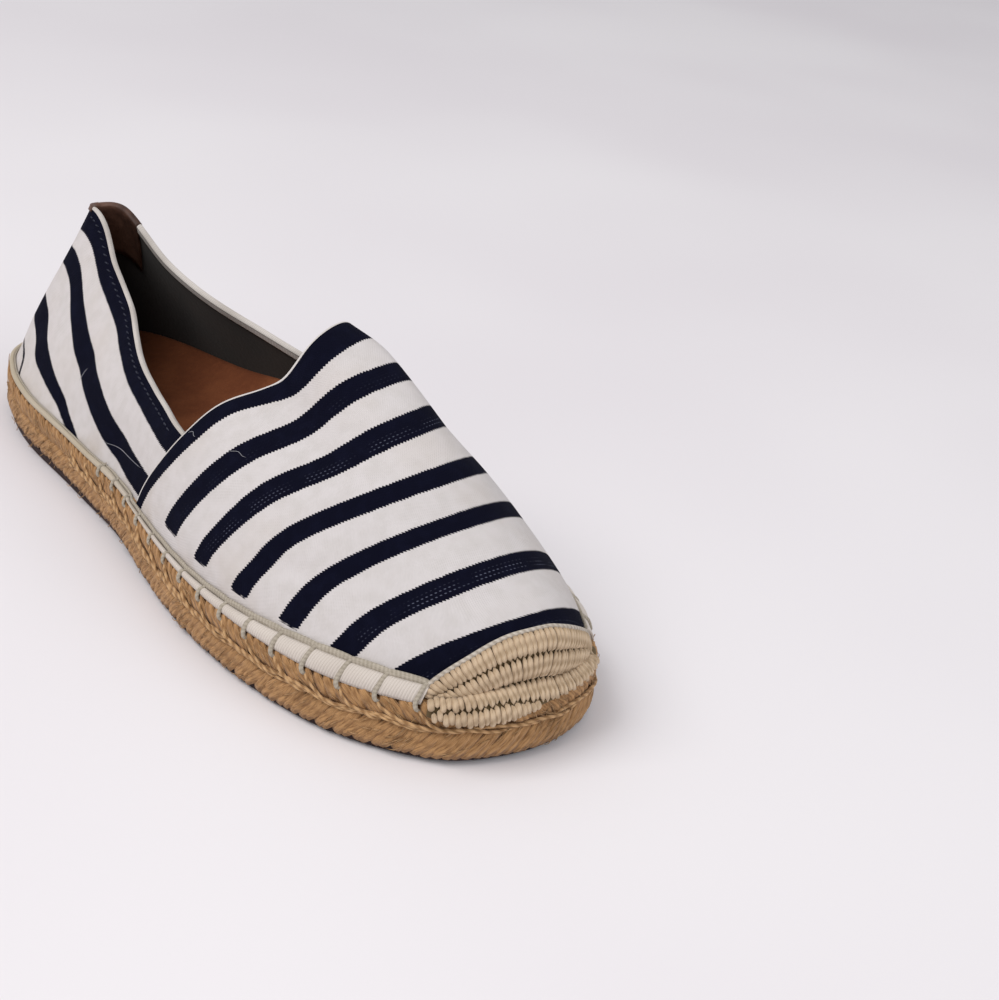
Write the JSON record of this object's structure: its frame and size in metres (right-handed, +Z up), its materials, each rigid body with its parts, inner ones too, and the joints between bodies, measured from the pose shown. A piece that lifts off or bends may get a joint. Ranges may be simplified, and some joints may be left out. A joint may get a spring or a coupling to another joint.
{
  "type": "espadrille",
  "caption": "Right-foot slip-on espadrille with a striped canvas upper, a crocheted toe cap and a braided jute sole.",
  "frame": {"origin": "on the floor under the middle of the shoe's length and width", "axes": "+Z up, -Y towards the toe, +Y towards the heel, -X towards the outer side of the right foot"},
  "size_m": [0.0952, 0.2578, 0.0777],
  "materials": {
    "outsole": "matt dark maroon rubber",
    "jute": "natural braided jute",
    "insole": "brown suede",
    "canvas": "off-white cotton canvas with navy stripes",
    "crochet": "khaki-cream crocheted cotton",
    "tape": "bright white ribbed cotton tape",
    "tab_leather": "soft brown leather"
  },
  "bodies": {
    "root": {"outsole_rubber": "outsole", "jute_sole": "jute", "insole": "insole", "upper": "canvas", "toe_cap": "crochet", "edge_tape": "tape", "collar_binding_lateral": "tape", "collar_binding_medial": "tape", "heel_tab": "tab_leather"}
  },
  "joints": []
}
